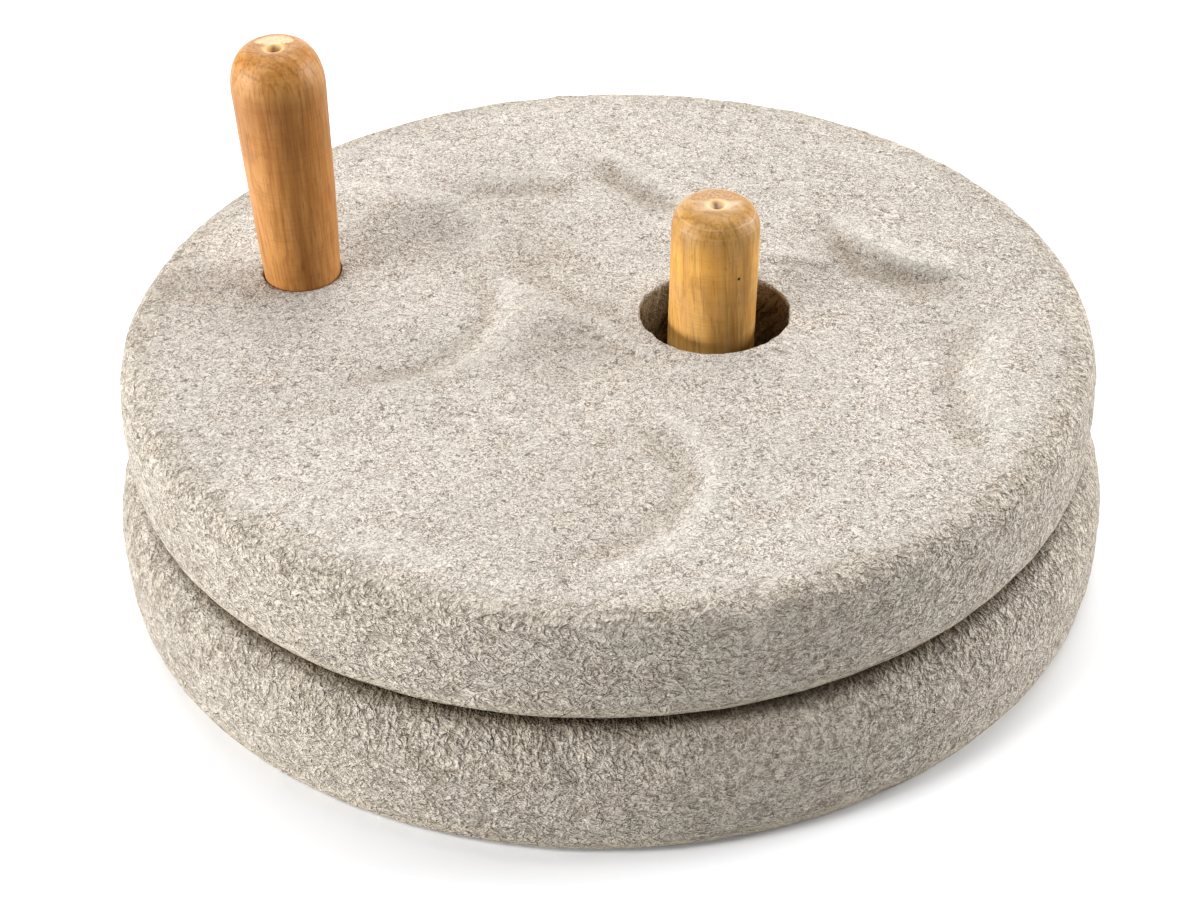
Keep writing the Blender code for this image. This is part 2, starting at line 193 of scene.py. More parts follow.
# Other random marks: level streaks on the lower lips, slanting tool marks and lumps on the
# eye's wall, the ragged mouth of the handle's socket on a circle of radius 1, and a peg's
# unevenness and ripple, whose seeds are added to the peg's own.
Marks = namedtuple("Marks", "spacing seed height")
LIP_STREAKS = Marks((0.012, 0.012, 0.0011), 21, 0.00022)
EYE_SLANTS = Marks(0.0022, 31, 0.00030)
EYE_LUMPS = Marks(0.0038, 32, 0.00045)
SOCKET_RAGS = Marks(0.35, 41, 0.00035)
OUT_OF_ROUND = Marks((0.014, 0.014, 0.030), 0, 0.00010)
RIPPLE = Marks((0.020, 0.020, 0.0012), 1, 0.00003)

# How much of the pick's marks is worn away on a lower lip.
LIP_WEAR = 0.8

# Where the carved face is darkened, as bells of strength: painted shadow of the handle to
# either side of its foot, and darker patches in the hollows.
SHADOW_AND_DARK_PATCHES = (Swell((-66, 42), 30, 13, 32, 0.20), Swell((-22, 38), 13, 24, 0, 0.34),
        Swell((-13, -16), 17, 24, 0, 0.22), Swell((-2, -80), 26, 36, -15, 0.24),
        Swell((-46, -24), 26, 8, 25, 0.18), Swell((-125, 24), 24, 8, 0, 0.25),
        Swell((12, 74), 20, 6, -52, 0.34), Swell((-26, 79), 18, 6, 6, 0.30),
        Swell((73, 36), 12, 5, -75, 0.40), Swell((86, 20), 14, 4, -28, 0.45))

# Where the two stones' sides meet, and how far from there painted shade darkens them,
# standing for the shade in the gap between them.
JOINT_REACH = 0.1375
JOINT_SPREAD = 0.0075

# Fineness of the grids: points round, steps over a stretch, spacings along a section, and
# samples of a curve before it is divided evenly.
ROUND_STONE = 560
FACE_STEPS = 76
UNDER_STEPS = 12
WALL_STEPS = 22
MOUTH_STEPS = 4
BED_FACE_STEPS = 40
BED_SOCKET_RINGS = 10
BED_UNDER_SHARES = (0.8, 0.6, 0.4, 0.2)
EDGE_SPACING = 0.00135
ROUND_SOCKET = 96
ROUND_PEG = 128
PEG_SPACING = 0.0009
CORNER_SAMPLES = 400
DOME_SAMPLES = 24
BODY_SAMPLES = 30


# --------------------------------------------------
# Camera: a long lens, looking down at the quern from the front.

LENS = 72.81
SENSOR = 36.0
CAMERA_TILT = 0.6262
CAMERA_ROLL = -0.0300
CAMERA_DISTANCE = 0.75267
CAMERA_TARGET = Vector((-0.002865, 0.0, 0.025695))


def add_object(name, data):
    """A new object in the scene, at the origin and unturned."""
    made = bpy.data.objects.new(name, data)
    bpy.context.scene.collection.objects.link(made)
    return made


def place_camera():
    """The camera's three axes from its tilt and roll, and its place back along its view."""
    lens = bpy.data.cameras.new("camera")
    lens.lens = LENS
    lens.sensor_width = SENSOR
    lens.clip_start = 0.01
    up = Vector((0.0, math.sin(CAMERA_TILT), math.cos(CAMERA_TILT)))
    ahead = Vector((0.0, math.cos(CAMERA_TILT), -math.sin(CAMERA_TILT)))
    side = Vector((1.0, 0.0, 0.0))
    rolled_side = side * math.cos(CAMERA_ROLL) + up * math.sin(CAMERA_ROLL)
    rolled_up = up * math.cos(CAMERA_ROLL) - side * math.sin(CAMERA_ROLL)
    place = Matrix((rolled_side, rolled_up, -ahead)).transposed().to_4x4()
    place.translation = CAMERA_TARGET - ahead * CAMERA_DISTANCE
    camera = add_object("camera", lens)
    camera.matrix_world = place
    bpy.context.scene.camera = camera


place_camera()


# --------------------------------------------------
# Fields: smooth numbers over space, as whole arrays.

# How many slopes a random field draws, a power of two, and what brings it up to about 1.
ROUGH_SLOPES = 256
ROUGH_GAIN = 1.6


def ease(value):
    """From 0 to 1 as the value goes from 0 to 1, flat at both ends: 3 v^2 - 2 v^3."""
    clipped = np.clip(value, 0.0, 1.0)
    return clipped * clipped * (3.0 - 2.0 * clipped)


def rough(points, spacing, seed):
    """A smooth random field from about -1 to 1, with bumps about one spacing apart.  Each
    corner of a cubic lattice has a random slope, and a point blends what the slopes of the
    eight corners round it give there, by the eased share of its cell."""
    chance = np.random.default_rng(seed)
    slopes = chance.normal(size=(ROUGH_SLOPES, 3))
    slopes /= np.linalg.norm(slopes, axis=1, keepdims=True)
    shuffle = chance.permutation(ROUGH_SLOPES)
    wrap = ROUGH_SLOPES - 1
    place = np.asarray(points) / np.asarray(spacing)
    cell = np.floor(place).astype(int)
    share = place - cell
    blend = share ** 3 * (share * (share * 6.0 - 15.0) + 10.0)
    total = np.zeros(place.shape[:-1])
    for step in itertools.product((0, 1), repeat=3):
        corner = (cell + step) & wrap
        pick = shuffle[corner[..., 0]]
        pick = shuffle[(pick + corner[..., 1]) & wrap]
        pick = shuffle[(pick + corner[..., 2]) & wrap]
        weight = np.where(step, blend, 1.0 - blend).prod(-1)
        total += weight * (slopes[pick] * (share - step)).sum(-1)
    return ROUGH_GAIN * total


def marked(points, marks, seed=0):
    """Height of a field of random marks."""
    return marks.height * rough(points, marks.spacing, marks.seed + seed)


def lengths_along(points):
    """How far along a path each of its points is."""
    steps = np.linalg.norm(np.diff(points, axis=0), axis=1)
    return np.concatenate([[0.0], np.cumsum(steps)])


def smooth_curve(points, step):
    """Places about one step apart on a smooth curve through the points.  Each piece is a
    cubic that leaves a point in the direction from the one before it to the one after."""
    points = np.asarray(points, float)
    points = np.concatenate([[2 * points[0] - points[1]], points,
                             [2 * points[-1] - points[-2]]])
    pieces = []
    for before, first, last, after in zip(points, points[1:], points[2:], points[3:]):
        count = max(2, int(np.linalg.norm(last - first) / step))
        share = (np.arange(count) / count)[:, None]
        leave, arrive = 0.5 * (last - before), 0.5 * (after - first)
        pieces.append(first + leave * share
                      + (3.0 * (last - first) - 2.0 * leave - arrive) * share ** 2
                      + (2.0 * (first - last) + leave + arrive) * share ** 3)
    return np.concatenate([*pieces, points[-2:-1]])


def wave_height(wave, x, y):
    """Height of one carved wave, in millimetres.  Every place is measured from the nearest
    one on the crest: how far along the crest it is, and how far to the left of it.  The back
    and the floor are falling exponentials, the wall an eased step between them."""
    crest = smooth_curve(wave.points, WAVE_STEP)
    ahead = np.gradient(crest, axis=0)
    ahead /= np.linalg.norm(ahead, axis=1)[:, None]
    run = lengths_along(crest)
    places = np.stack([x.ravel(), y.ravel()], -1)
    nearest = np.argmin((crest ** 2).sum(1) - 2.0 * places @ crest.T, axis=1)
    gap = places - crest[nearest]
    way = ahead[nearest]
    left = (way[:, 0] * gap[:, 1] - way[:, 1] * gap[:, 0]).reshape(x.shape)
    along = (run[nearest] + (way * gap).sum(1)).reshape(x.shape)
    grown = ease(along / wave.starts) * ease((run[-1] - along) / wave.ends)
    back = wave.crest * np.exp(np.minimum(left, 0.0) / wave.back)
    wall = wave.crest - (wave.crest + wave.depth) * ease(left / wave.wall)
    floor = -wave.depth * np.exp(-np.maximum(left - wave.wall, 0.0) / wave.run)
    return grown * np.where(left < 0.0, back, np.where(left < wave.wall, wall, floor))


def swell_height(swell, x, y):
    """Height of one low mound or dip, in millimetres: a bell over a turned ellipse."""
    turn = math.radians(swell.turn)
    across, up = x - swell.centre[0], y - swell.centre[1]
    long = (across * math.cos(turn) + up * math.sin(turn)) / swell.length
    wide = (up * math.cos(turn) - across * math.sin(turn)) / swell.width
    return swell.height * np.exp(-long ** 2 - wide ** 2)


def carved_height(x, y):
    """Height of the upper stone's carved face above its flat: the sum of the waves and the
    swells, faded before the rim."""
    across, up = x / MILLIMETRE, y / MILLIMETRE
    height = sum(wave_height(wave, across, up) for wave in WAVES)
    height = height + sum(swell_height(swell, across, up) for swell in SWELLS)
    inside = CARVED_REACH - reach_from(RUNNER.axis, x, y)
    return MILLIMETRE * height * ease(inside / CARVED_FADE)


def carved_edges(x, y):
    """How sharply the carved face bends, from -1 in a crease to 1 on a crest: its height
    above the mean of four places round it, some near and some further off."""
    height = carved_height(x, y)
    bend = 0.0
    for step, full in SHARP_BENDS:
        around = (carved_height(x + step, y) + carved_height(x - step, y)
                  + carved_height(x, y + step) + carved_height(x, y - step)) / 4.0
        bend = bend + (height - around) / full
    return np.clip(bend, -1.0, 1.0)


# --------------------------------------------------
# Sections and grids.

def reach_from(centre, x, y):
    """How far places are from an upright axis."""
    return np.hypot(x - centre[0], y - centre[1])


def even_path(points, spacing):
    """The same path in equal steps of about one spacing."""
    points = np.asarray(points, float)
    run = lengths_along(points)
    steps = max(int(round(run[-1] / spacing)), 2)
    at = np.linspace(0.0, run[-1], steps + 1)
    return np.stack([np.interp(at, run, points[:, 0]), np.interp(at, run, points[:, 1])], 1)


def corner_path(stone, corner, flat):
    """Radius and height from a stone's belly to a flat face, along a quarter superellipse:
    the cosine and sine of an even angle, raised to 2 / power."""
    angle = np.linspace(0.0, 0.5 * math.pi, CORNER_SAMPLES)
    out = np.clip(np.cos(angle), 0.0, 1.0) ** (2.0 / corner.power)
    up = np.clip(np.sin(angle), 0.0, 1.0) ** (2.0 / corner.power)
    return np.stack([stone.radius - corner.inset * (1.0 - out),
                     stone.belly + (flat - stone.belly) * up], 1)


def circles(centre, radii, heights, count):
    """Rings about an upright axis: one ring for each radius and height."""
    angle = np.arange(count) * (2.0 * math.pi / count)
    radii = np.asarray(radii)[:, None]
    x = centre[0] + radii * np.cos(angle)
    y = centre[1] + radii * np.sin(angle)
    z = np.broadcast_to(np.asarray(heights)[:, None], x.shape)
    return np.stack([x, y, z], -1)


def side_rings(stone):
    """A stone's side in even rings, from the edge of its top face down to its underside."""
    above = corner_path(stone, stone.upper, stone.top)[::-1]
    below = corner_path(stone, stone.lower, stone.bottom)[1:]
    side = even_path(np.concatenate([above, below]), EDGE_SPACING)
    return circles(stone.axis, side[:, 0], side[:, 1], ROUND_STONE)


def stretched(first, last, steps):
    """Rings between two rings, in equal steps along straight lines, both ends left out."""
    share = (np.arange(1, steps) / steps)[:, None, None]
    return first[None] * (1.0 - share) + last[None] * share


def raise_along(rings, endless, height):
    """Move every point along the grid's normal by its own height.  The normal is the step to
    the next ring crossed with the step round, and an endless grid's last ring is followed by
    its first."""
    if endless:
        along = np.roll(rings, -1, 0) - np.roll(rings, 1, 0)
    else:
        along = np.gradient(rings, axis=0)
    around = np.roll(rings, -1, 1) - np.roll(rings, 1, 1)
    normal = np.cross(along, around)
    normal /= np.maximum(np.linalg.norm(normal, axis=-1, keepdims=True), 1e-12)
    return rings + normal * height[..., None]


def skin(name, rings, poles=None):
    """A closed mesh over a grid of rings: quads from ring to ring and round.  With a pair of
    poles, fans of triangles close the two ends; without, the last ring joins the first."""
    count, around = rings.shape[:2]
    index = np.arange(count * around).reshape(count, around)
    points = rings.reshape(-1, 3)
    fans = []
    if poles is None:
        index = np.vstack([index, index[:1]])
    else:
        points = np.vstack([points, np.asarray(poles)])
        start, end = len(points) - 2, len(points) - 1
        first, last = index[0], index[-1]
        fans += np.stack([np.full(around, start), first, np.roll(first, -1)], 1).tolist()
        fans += np.stack([np.full(around, end), np.roll(last, -1), last], 1).tolist()
    after = np.roll(index, -1, 1)
    quads = np.stack([index[:-1], index[1:], after[1:], after[:-1]], -1).reshape(-1, 4)
    mesh = bpy.data.meshes.new(name)
    mesh.from_pydata(points.tolist(), [], quads.tolist() + fans)
    mesh.shade_smooth()
    mesh.update()
    return add_object(name, mesh)


def mesh_points(piece):
    """A piece's points as an array of rows."""
    flat = np.empty(len(piece.data.vertices) * 3, np.float32)
    piece.data.vertices.foreach_get("co", flat)
    return flat.reshape(-1, 3).astype(float)


def paint(piece, name, values):
    """Keep a number, or a row of three, for each point under a name, for the material."""
    values = np.asarray(values, np.float32)
    kind, field = ("FLOAT", "value") if values.ndim == 1 else ("FLOAT_VECTOR", "vector")
    layer = piece.data.attributes.new(name, kind, "POINT")
    layer.data.foreach_set(field, values.ravel())


# --------------------------------------------------
# Pecked stone.

def pick_share(stone, x, y):
    """From 0 on a stone's flat faces to 1 on its rougher side."""
    return ease((reach_from(stone.axis, x, y) - stone.pick_edge) / stone.pick_growth)


def pecked(points, on_rim):
    """Height that the mason's pick leaves: broad hollows, dents of a few millimetres, level
    wrinkles on the rim and sharp pits, the rim rougher than the face."""
    fields = [rough(points, peck.spacing, peck.seed) for peck in PECKS]
    fields[-1] = np.maximum(fields[-1] - PIT_EDGE, 0.0)
    face = sum(peck.on_face * field for peck, field in zip(PECKS, fields))
    rim = sum(peck.on_rim * field for peck, field in zip(PECKS, fields))
    return face + (rim - face) * on_rim


def dressed(rings, stone):
    """Height of a stone's surface above its plain form: pecked, with the lower lip worn and
    drawn into thin level streaks, a field stretched along the side and pressed flat."""
    x, y, z = np.moveaxis(rings, -1, 0)
    on_rim = pick_share(stone, x, y)
    lip = ease((stone.bottom + stone.lip - z) / stone.lip_growth) * on_rim
    return pecked(rings, on_rim) * (1.0 - LIP_WEAR * lip) + marked(rings, LIP_STREAKS) * lip


def wound_eye(x, y, z, rise):
    """Places on the eye's wall, each turned back by how far the tool's marks wind up to it
    and lifted by a share of its height."""
    turn = (np.arctan2(y - EYE_CENTRE[1], x - EYE_CENTRE[0])
            + EYE_TWIST * (z - RUNNER.bottom))
    return np.stack([EYE_RADIUS * np.cos(turn), EYE_RADIUS * np.sin(turn), rise * z], -1)


def make_upper_stone():
    """The runner.  An endless grid: from the eye's mouth, stretched between the eye's circle
    and the rim's over the carved face, down the side, back in under the stone, and up the
    wall of the eye.  The face that lies on the lower stone stays flat."""
    mouth_angle = np.linspace(0.0, 0.5 * math.pi, MOUTH_STEPS + 1)
    mouth_radii = EYE_RADIUS + MOUTH_ROUNDING * (1.0 - np.cos(mouth_angle))
    mouth_heights = RUNNER.top - MOUTH_ROUNDING * (1.0 - np.sin(mouth_angle))
    mouth = circles(EYE_CENTRE, mouth_radii, mouth_heights, ROUND_STONE)
    rim = side_rings(RUNNER)
    face = stretched(mouth[-1], rim[0], FACE_STEPS)
    foot_heights = RUNNER.bottom + (RUNNER.top - mouth_heights)
    foot = circles(EYE_CENTRE, mouth_radii, foot_heights, ROUND_STONE)[::-1]
    under = stretched(rim[-1], foot[0], UNDER_STEPS)
    wall = stretched(foot[-1], mouth[0], WALL_STEPS)
    rings = np.concatenate([mouth, face, rim, under, foot, wall])

    x, y, z = np.moveaxis(rings, -1, 0)
    upper = ease((z - RUNNER.belly) / (0.5 * (RUNNER.top - RUNNER.belly)))
    in_eye = reach_from(EYE_CENTRE, x, y) < EYE_RADIUS + 0.4 * MOUTH_ROUNDING
    on_wall = in_eye & (z < RUNNER.top - MOUTH_ROUNDING)
    rings[..., 2] = z + np.where(on_wall, 0.0, upper * carved_height(x, y))

    hidden = ((z < RUNNER.bottom + FLAT_HEIGHT)
              & (reach_from(RUNNER.axis, x, y) < RUNNER.radius - FLAT_INSET))
    slants = marked(wound_eye(x, y, z, EYE_MARK_RISE), EYE_SLANTS)
    tooling = slants + marked(rings, EYE_LUMPS)
    height = np.where(in_eye, tooling, dressed(rings, RUNNER))
    return skin("upper_stone", raise_along(rings, True, np.where(hidden, 0.0, height)))


def make_lower_stone():
    """The bedstone.  Rings from the floor of the dowel's socket, up its wall, stretched over
    the flat face, down the side and in under the stone.  Its flat faces stay plain."""
    radius = DOWEL.foot_radius + DOWEL.gap
    floor = BED.top - DOWEL.depth - DOWEL.gap
    lean = math.tan(DOWEL.lean)
    radii = np.concatenate([[0.5 * radius], np.full(BED_SOCKET_RINGS, radius)])
    heights = np.concatenate([[floor], np.linspace(floor, BED.top, BED_SOCKET_RINGS)])
    hole = circles((0.0, 0.0), radii, heights, ROUND_STONE)
    hole[..., 0] += DOWEL.foot[0] + lean * (hole[..., 2] - BED.top)
    rim = side_rings(BED)
    face = stretched(hole[-1], rim[0], BED_FACE_STEPS)
    under_radii = rim[-1, 0, 0] * np.array(BED_UNDER_SHARES)
    under = circles((0.0, 0.0), under_radii, np.zeros(len(under_radii)), ROUND_STONE)
    rings = np.concatenate([hole, face, rim, under])
    x, y, z = np.moveaxis(rings, -1, 0)
    height = dressed(rings, BED) * (pick_share(BED, x, y) * ease(z / FOOT_FADE))
    poles = [(DOWEL.foot[0] + lean * (floor - BED.top), 0.0, floor), (0.0, 0.0, 0.0)]
    return skin("lower_stone", raise_along(rings, False, height), poles)


# --------------------------------------------------
# Turned pegs.

def peg_path(peg, length):
    """Radius and height of a turned peg from its end face to its foot: the dimple with its
    raised ring, a flat end, a quarter-round shoulder, a body that swells a little down to the
    stone's face, and the foot."""
    dimple = even_path(np.array(DIMPLE) + (0.0, length), 0.5 * PEG_SPACING)
    angle = np.linspace(0.5 * math.pi, 0.0, DOME_SAMPLES)
    dome = np.stack([peg.end_radius + (peg.head_radius - peg.end_radius) * np.cos(angle),
                     length - peg.shoulder * (1.0 - np.sin(angle))], 1)
    down = np.linspace(0.0, 1.0, BODY_SAMPLES)[1:]
    body = np.stack([peg.head_radius + (peg.foot_radius - peg.head_radius) * down
                     + peg.swell * np.sin(math.pi * down),
                     (length - peg.shoulder) * (1.0 - down) + peg.depth * down], 1)
    foot = np.array([[peg.foot_radius, 0.0], [0.6 * peg.foot_radius, 0.0]])
    rest = even_path(np.concatenate([dimple[-1:], dome, body, foot]), PEG_SPACING)
    return np.concatenate([dimple, rest[1:]])


def peg_place(peg):
    """A peg's turn and its foot's place: at its socket's floor, leaning towards +X about the
    point where it leaves the stone's face."""
    place = (Matrix.Translation((*peg.foot, peg.face)) @ Matrix.Rotation(peg.lean, 4, "Y")
             @ Matrix.Translation((0.0, 0.0, -peg.depth)))
    return np.array(place.to_3x3()), np.array(place.translation)


def make_peg(name, peg):
    """A peg turned about its own axis, a little out of round and rippled by the tool, its
    dimple a little off centre, then set in its place."""
    length = peg.depth + peg.reach
    path = peg_path(peg, length)
    rings = circles((0.0, 0.0), path[:, 0], path[:, 1], ROUND_PEG)
    uneven = marked(rings, OUT_OF_ROUND, peg.seed) + marked(rings, RIPPLE, peg.seed)
    rings = raise_along(rings, False, uneven)
    near = ease((SHIFTED_REACH - path[:, 0]) / SHIFTED_FADE) * (path[:, 1] > 0.5 * length)
    rings[..., :2] += near[:, None, None] * np.asarray(peg.dimple)
    poles = np.array([[*peg.dimple, length - DIMPLE_DEPTH], [0.0, 0.0, 0.0]])
    turn, shift = peg_place(peg)
    return skin(name, rings @ turn.T + shift, poles @ turn.T + shift)


def cut_socket(stone, peg):
    """Cut a peg's round blind socket down from a stone's face, its mouth ragged."""
    heights = np.array([peg.depth + SOCKET_OVER, peg.depth - SOCKET_MOUTH, -SOCKET_FLOOR])
    radii = peg.foot_radius + peg.gap + np.array([SOCKET_FLARE, 0.0, 0.0])
    rings = circles((0.0, 0.0), radii, heights, ROUND_SOCKET)
    out = circles((0.0, 0.0), [1.0], [0.0], ROUND_SOCKET)[0]
    rings[0] += out * marked(out, SOCKET_RAGS)[:, None]
    poles = np.array([[0.0, 0.0, heights[0]], [0.0, 0.0, heights[-1]]])
    turn, shift = peg_place(peg)
    tool = skin("socket_tool", rings @ turn.T + shift, poles @ turn.T + shift)
    cut = stone.modifiers.new("socket", "BOOLEAN")
    cut.operation = "DIFFERENCE"
    cut.solver = "EXACT"
    cut.object = tool
    shown = bpy.context.evaluated_depsgraph_get()
    bpy.context.view_layer.update()
    whole = bpy.data.meshes.new_from_object(stone.evaluated_get(shown))
    stone.modifiers.clear()
    stone.data = whole
    bpy.data.objects.remove(tool, do_unlink=True)


# --------------------------------------------------
# What the materials read on the pieces' points.

# On a peg's end: how far down its marks reach and over what height they grow; how soft the
# edges of the cut and the bare wood are; the pale ring's radius and width; how far the cut
# keeps from the dimple, and how softly; and the pits' width and places from the dimple.
END_DEPTH = 0.0030
END_GROWTH = 0.0012
CUT_EDGE = 0.0004
BARE_EDGE = 0.0028
RING_RADIUS = 0.0026
RING_WIDTH = 0.0007
CUT_CLEAR = 0.0024
CUT_CLEAR_EDGE = 0.0006
PIT_WIDTH = 0.0007
PIT_PLACES = ((0.0, 0.0), (-0.0003, 0.0016), (0.0002, -0.0018))

# How far below a peg's end its dark streak, partly painted shade, ends, and over what height
# it fades.
STREAK_AND_SHADE_END = 0.004
STREAK_AND_SHADE_FADE = 0.010

# Where a stone's painted parts start and over what width they grow; how strong the runner's
# shoulder is beside the bedstone's; how far down the runner's face reaches from its top; and
# the room by which the eye's wall is told from the stone round it.
SIDE_GROWTH = 0.008
RIM_START = 0.004
RIM_GROWTH = 0.012
SHOULDER_GROWTH = 0.010
RUNNER_SHOULDER = 0.15
LIP_HEIGHT = 0.0080
LIP_GROWTH = 0.004
JOINT_CORE = 0.001
EYE_GROWTH = 0.0015
FACE_DEPTH = 0.006
WALL_ROOM = 0.0004
WALL_START = 0.0002


def paint_peg(piece, peg):
    """A peg's height along its own axis; its dark streak, partly the wood's own and partly
    painted shade on the side the lights reach least, a bell of the angle from one compass
    direction; and on its end the slanting cut at the back, the bare wood beside the dimple,
    the dimple's pale ring and its dark pits.  The cut and the bare wood are eased from how
    far a place is inside their edges."""
    turn, shift = peg_place(peg)
    x, y, z = ((mesh_points(piece) - shift) @ turn).T
    length = peg.depth + peg.reach
    facing, spread, strength = peg.heart
    off = np.abs((np.degrees(np.arctan2(y, x)) - facing + 180.0) % 360.0 - 180.0)
    on_end = ease((z - length + END_DEPTH) / END_GROWTH)
    across, up = x - peg.dimple[0], y - peg.dimple[1]
    reach = np.hypot(across, up)
    radius, start, bow = peg.cut
    inside = np.minimum(radius - np.hypot(x, y), y - start - bow * x ** 2)
    pits = sum(np.exp(-((across - side) ** 2 + (up - fore) ** 2) / PIT_WIDTH ** 2)
               for side, fore in PIT_PLACES)
    bare = np.zeros_like(x)
    if peg.bare:
        wide, deep, middle = peg.bare
        within = np.minimum(wide - np.abs(x), deep - np.abs(y - middle))
        bare = ease(0.5 + within / BARE_EDGE)
    paint(piece, "height", z)
    paint(piece, "heart", strength * np.exp(-(off / spread) ** 2)
          * ease((length - STREAK_AND_SHADE_END - z) / STREAK_AND_SHADE_FADE))
    paint(piece, "cut", on_end * ease(0.5 + inside / CUT_EDGE)
          * ease((reach - CUT_CLEAR) / CUT_CLEAR_EDGE))
    paint(piece, "bare", on_end * bare)
    paint(piece, "ring", on_end * np.exp(-((reach - RING_RADIUS) / RING_WIDTH) ** 2))
    paint(piece, "pits", on_end * np.clip(pits, 0.0, 1.0))


def paint_stone(piece, stone):
    """A stone's rim, shoulder, lower lip, joint and eye wall, from 0 to 1, the joint for
    painted shade in the gap between the stones; how sharply its carved face bends, and how
    strongly painted shadow of the handle and darker patches darken it there; and its side
    unrolled, as a place round an upright cylinder and a length up the side and in over the
    shoulder; in the eye, along the slanting marks of the tool."""
    x, y, z = mesh_points(piece).T
    reach = reach_from(stone.axis, x, y)
    carved = stone is RUNNER
    in_eye = (carved & (reach_from(EYE_CENTRE, x, y) < EYE_RADIUS + WALL_ROOM)
              & (z > stone.bottom + WALL_START))
    on_face = carved & (z > stone.top - FACE_DEPTH) & ~in_eye
    on_side = ease((reach - stone.colour_edge) / SIDE_GROWTH)
    from_joint = np.hypot(reach - JOINT_REACH, z - BED.top)
    around = stone.radius * np.stack([(x - stone.axis[0]) / np.maximum(reach, 1e-6),
                                      (y - stone.axis[1]) / np.maximum(reach, 1e-6)], -1)
    up_side = z + np.where(z > stone.belly, 1.0, -1.0) * (stone.radius - reach)
    unrolled = np.where(in_eye[:, None], wound_eye(x, y, z, EYE_COLOUR_RISE),
                        np.concatenate([around, up_side[:, None]], -1))
    # Painted shadow of the handle beside its foot, and darker patches in the hollows.
    shadow_and_patch_strength = sum(swell_height(patch, x / MILLIMETRE, y / MILLIMETRE) for patch in SHADOW_AND_DARK_PATCHES)
    paint(piece, "rim", ease((reach - stone.colour_edge - RIM_START) / RIM_GROWTH))
    paint(piece, "shoulder", on_side * ease((z - stone.belly) / SHOULDER_GROWTH)
          * (RUNNER_SHOULDER if carved else 1.0))
    paint(piece, "lip", on_side * ease((stone.bottom + LIP_HEIGHT - z) / LIP_GROWTH))
    # Painted shade in the gap between the stones, strongest at the joint.
    paint(piece, "joint", ease((JOINT_SPREAD - from_joint) / (JOINT_SPREAD - JOINT_CORE)))
    paint(piece, "eye", in_eye * ease((stone.top - MOUTH_ROUNDING - z) / EYE_GROWTH))
    # How sharply the face bends, for painted shade in its creases and painted highlight on
    # its crests.
    paint(piece, "bend", on_face * carved_edges(x, y))
    paint(piece, "shadow_and_patches", on_face * shadow_and_patch_strength)
    paint(piece, "unrolled", unrolled)


# --------------------------------------------------
# Materials.

def node(tree, kind, inputs=(), **settings):
    """Add one shader node.  Settings are its own choices; each input is set to a value, or
    linked where the value is another node's output."""
    made = tree.nodes.new("ShaderNode" + kind)
    for name, value in settings.items():
        setattr(made, name, value)
    for socket, value in dict(inputs).items():
        if isinstance(value, bpy.types.NodeSocket):
            tree.links.new(value, made.inputs[socket])
        else:
            made.inputs[socket].default_value = value
    return made


def noise(tree, place, scale, detail=2.0, roughness=0.5, distortion=0.0):
    """Noise over a place, as a number about 0.5."""
    made = node(tree, "TexNoise", {"Vector": place, "Scale": scale, "Detail": detail,
                                   "Roughness": roughness, "Distortion": distortion})
    return made.outputs["Fac"]


def mapped(tree, place, **inputs):
    """A place moved, turned and drawn out by a Mapping node."""
    return node(tree, "Mapping", {"Vector": place, **inputs}).outputs[0]


def fit(tree, value, low, high, to_low=0.0, to_high=1.0):
    """Ease a number from one range to another, held at the ends."""
    made = node(tree, "MapRange", {"Value": value, "From Min": low, "From Max": high,
                                   "To Min": to_low, "To Max": to_high},
                interpolation_type="SMOOTHSTEP")
    return made.outputs["Result"]


def maths(tree, operation, first, second=0.0):
    """One sum on two numbers."""
    return node(tree, "Math", {0: first, 1: second}, operation=operation).outputs[0]


def product(tree, first, second):
    """Two numbers multiplied."""
    return maths(tree, "MULTIPLY", first, second)


def tint(tree, share, first, second, kind="MIX"):
    """Two colours mixed, or the first multiplied by the second, by a share."""
    sockets = {0: share, 6: first, 7: second}
    for key in (6, 7):
        if isinstance(sockets[key], tuple) and len(sockets[key]) == 3:
            sockets[key] = (*sockets[key], 1.0)
    return node(tree, "Mix", sockets, data_type="RGBA", blend_type=kind).outputs[2]


def layered(tree, colour, layers):
    """A colour with layers laid on it, one after the other: each has a share and a colour,
    and says so where it multiplies."""
    for share, laid, *kind in layers:
        colour = tint(tree, share, colour, laid, *kind)
    return colour


def ramp(tree, value, stops):
    """A colour ramp: each stop is a place from 0 to 1 and a linear colour."""
    made = node(tree, "ValToRGB", {"Fac": value})
    band = made.color_ramp
    while len(band.elements) < len(stops):
        band.elements.new(0.5)
    for element, (place, colour) in zip(band.elements, stops):
        element.position = place
        element.color = (*colour, 1.0)
    return made.outputs["Color"]


def painted(tree, name):
    """The number kept on the piece's points under a name."""
    return node(tree, "Attribute", attribute_name=name).outputs["Fac"]


def new_material(name, roughness, specular):
    """A material with its Principled shader, as rough and as shiny as given."""
    made = bpy.data.materials.new(name)
    made.use_nodes = True
    shader = made.node_tree.nodes["Principled BSDF"]
    shader.inputs["Roughness"].default_value = roughness
    shader.inputs["Specular IOR Level"].default_value = specular
    return made, made.node_tree, shader


# Granite's colours: its ground, from the dark crystals to the pale ones, and what lies on it.
GROUND = ((0.32, (0.380, 0.340, 0.292)), (0.41, (0.510, 0.467, 0.414)),
          (0.50, (0.605, 0.559, 0.502)), (0.64, (0.665, 0.621, 0.568)))
BROAD_STROKE = (0.165, 0.138, 0.108)
FINE_STROKE = (0.210, 0.177, 0.141)
MICA = (0.090, 0.072, 0.055)
# Painted highlight on the carving's crests.
CREST_HIGHLIGHT = (0.700, 0.665, 0.610)
